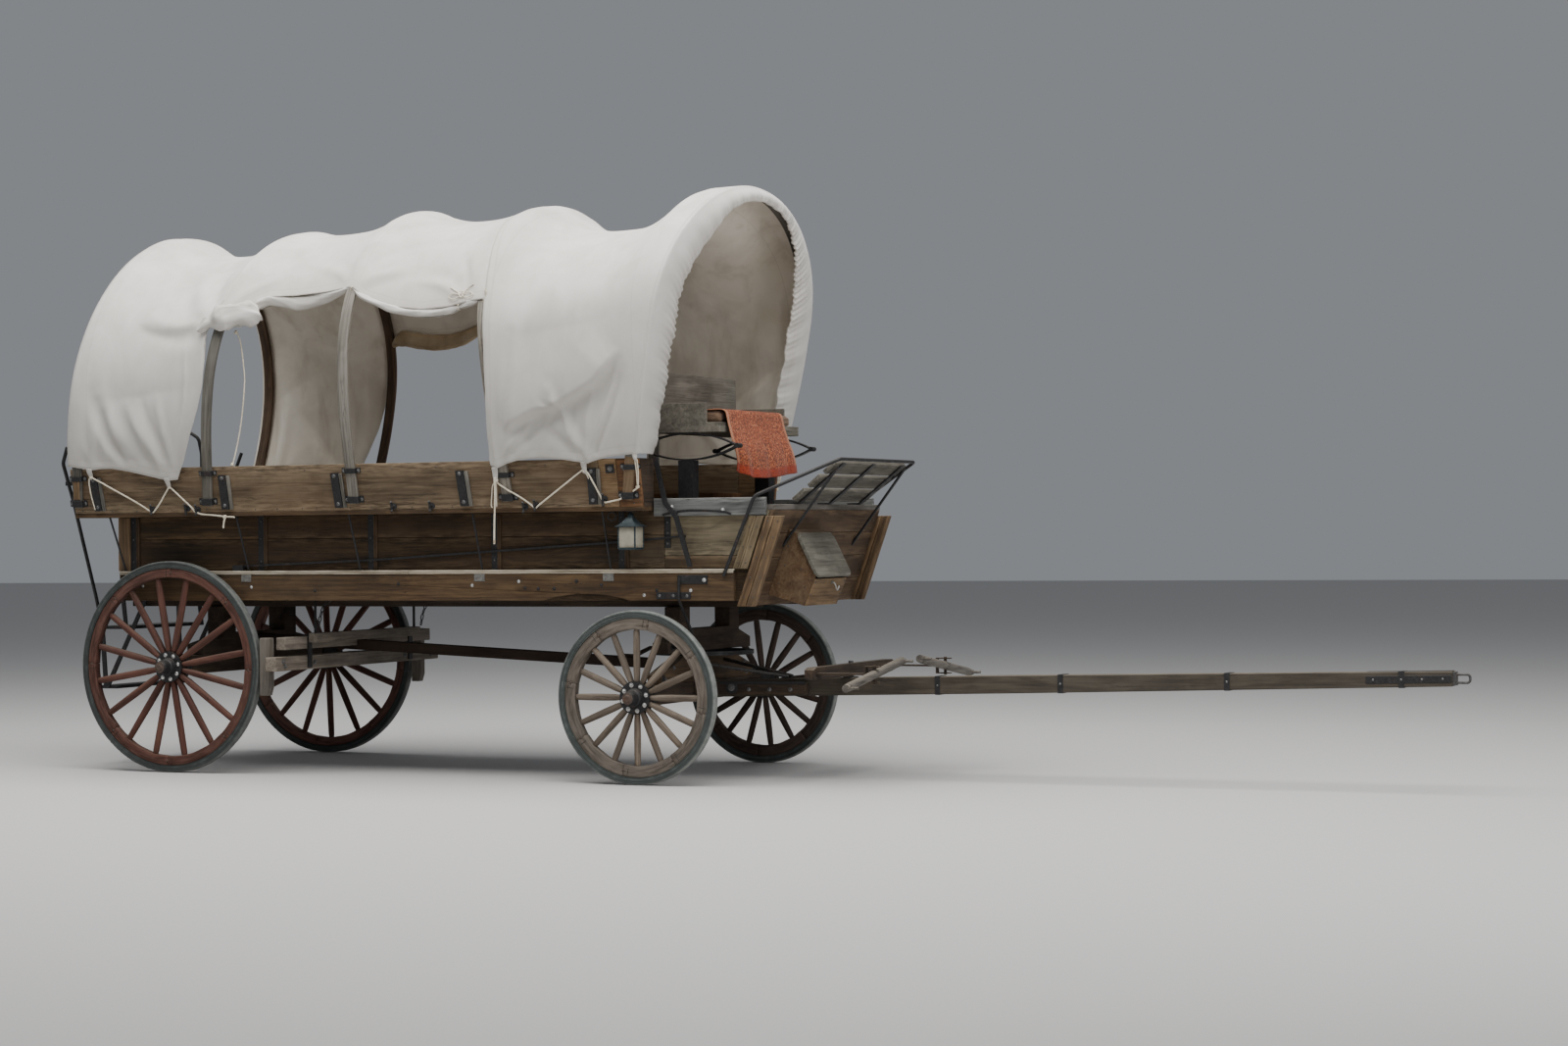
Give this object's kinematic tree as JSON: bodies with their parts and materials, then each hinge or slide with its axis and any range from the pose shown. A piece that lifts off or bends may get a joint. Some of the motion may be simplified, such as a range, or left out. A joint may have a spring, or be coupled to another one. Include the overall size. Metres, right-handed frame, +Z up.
{
  "type": "covered wagon",
  "caption": "Horse-drawn covered wagon: spoked wheels, turning front gear with tongue, flared wooden box, bow-supported canvas, sprung driver's seat, brake, ladder.",
  "frame": {"origin": "centre of the footprint on the ground, midway between the ladder's rear edge and the tongue's tip", "axes": "+X forward along the tongue, +Y to the wagon's left, +Z up"},
  "size_m": [8.4879, 2.1652, 3.4105],
  "materials": {
    "weathered_oak": "weathered, open grain",
    "dark_oak": "old, dark, dusty",
    "grey_wood": "silvered, dry",
    "honey_wood": "newer boards, oiled",
    "wheel_red_wood": "faded dark red paint on wood",
    "wheel_grey_wood": "bare weathered wood",
    "black_iron": "black, worn, satin",
    "tyre_rubber": "matt, dusty",
    "canvas": "cotton duck, off-white",
    "cushion_cloth": "woven, worn",
    "rug_wool": "speckled woven wool",
    "lantern_metal": "verdigris, worn",
    "frosted_glass": "frosted, cream",
    "rope": "laid cotton rope, cream"
  },
  "bodies": {
    "wagon": {"rear_axle": "dark_oak", "rear_bolster": "dark_oak", "turning_ring_upper": "black_iron", "upper_bolster": "dark_oak", "reach_pole": "wheel_red_wood", "bed_floor": "dark_oak", "lower_sides": "dark_oak", "step_rails": "weathered_oak", "side_shelves": "weathered_oak", "flare_boards": "weathered_oak", "side_irons": "black_iron", "tail_boards": "weathered_oak", "door_hinge_pins": "black_iron", "front_bulkhead": "weathered_oak", "driver_floor": "grey_wood", "front_board": "honey_wood", "front_side_boards": "grey_wood", "benches": "honey_wood", "driver_seat": "weathered_oak", "seat_springs": "black_iron", "seat_cushion": "cushion_cloth", "seat_rug": "rug_wool", "footboard": "grey_wood", "footboard_irons": "black_iron", "tool_box": "honey_wood", "lantern": "lantern_metal", "lantern_panes": "frosted_glass", "brake_linkage": "black_iron", "brake_hangers": "black_iron", "brake_beam": "grey_wood", "brake_shoes": "grey_wood", "rear_ladder": "black_iron", "canopy_bows": "grey_wood", "canvas_cover": "canvas", "rolled_flaps": "canvas", "rope_tail": "rope"},
    "front_gear": {"front_axle": "dark_oak", "front_bolster": "dark_oak", "turning_ring_lower": "black_iron", "hounds": "dark_oak", "tongue": "grey_wood", "tongue_irons": "black_iron"},
    "doubletree": {"doubletree": "dark_oak"},
    "singletree_right": {"singletree_right": "grey_wood"},
    "singletree_left": {"singletree_left": "grey_wood"},
    "rear_door": {"rear_door": "weathered_oak"},
    "tool_box_lid": {"tool_box_lid": "grey_wood"},
    "rear_wheel_right": {"rear_tyre_right": "tyre_rubber", "rear_hub_right": "black_iron", "rear_felloe_and_spokes_right": "wheel_red_wood"},
    "rear_wheel_left": {"rear_tyre_left": "tyre_rubber", "rear_hub_left": "black_iron", "rear_felloe_and_spokes_left": "wheel_red_wood"},
    "front_wheel_right": {"front_tyre_right": "tyre_rubber", "front_hub_right": "black_iron", "front_felloe_and_spokes_right": "wheel_grey_wood"},
    "front_wheel_left": {"front_tyre_left": "tyre_rubber", "front_hub_left": "black_iron", "front_felloe_and_spokes_left": "wheel_grey_wood"}
  },
  "joints": [
    {"name": "steering", "type": "hinge", "parent": "wagon", "child": "front_gear", "pos_m": [-0.23702, 0, 0.7], "axis": [0, 0, 1], "range_deg": [-45, 45]},
    {"name": "doubletree_swivel", "type": "hinge", "parent": "front_gear", "child": "doubletree", "pos_m": [0.70298, 0, 0.6189], "axis": [0, 0, 1], "range_deg": [-20, 20]},
    {"name": "singletree_right_swivel", "type": "hinge", "parent": "doubletree", "child": "singletree_right", "pos_m": [1.07298, -0.545, 0.6189], "axis": [0, 0, 1], "range_deg": [-30, 30]},
    {"name": "singletree_left_swivel", "type": "hinge", "parent": "doubletree", "child": "singletree_left", "pos_m": [1.07298, 0.545, 0.6189], "axis": [0, 0, 1], "range_deg": [-30, 30]},
    {"name": "rear_door_hinge", "type": "hinge", "parent": "wagon", "child": "rear_door", "pos_m": [-4.07002, 0.364, 1.45], "axis": [0, 0, -1], "range_deg": [0, 100]},
    {"name": "tool_box_lid_hinge", "type": "hinge", "parent": "wagon", "child": "tool_box_lid", "pos_m": [0.58798, -0.2675, 1.4], "axis": [0, -1, 0], "range_deg": [0, 90]},
    {"name": "rear_wheel_right_spin", "type": "hinge", "parent": "wagon", "child": "rear_wheel_right", "pos_m": [-3.36702, -0.867, 0.635], "axis": [0, 1, 0], "continuous": true},
    {"name": "rear_wheel_left_spin", "type": "hinge", "parent": "wagon", "child": "rear_wheel_left", "pos_m": [-3.36702, 0.867, 0.635], "axis": [0, 1, 0], "continuous": true},
    {"name": "front_wheel_right_spin", "type": "hinge", "parent": "front_gear", "child": "front_wheel_right", "pos_m": [-0.23702, -0.857, 0.49], "axis": [0, 1, 0], "continuous": true},
    {"name": "front_wheel_left_spin", "type": "hinge", "parent": "front_gear", "child": "front_wheel_left", "pos_m": [-0.23702, 0.857, 0.49], "axis": [0, 1, 0], "continuous": true}
  ]
}
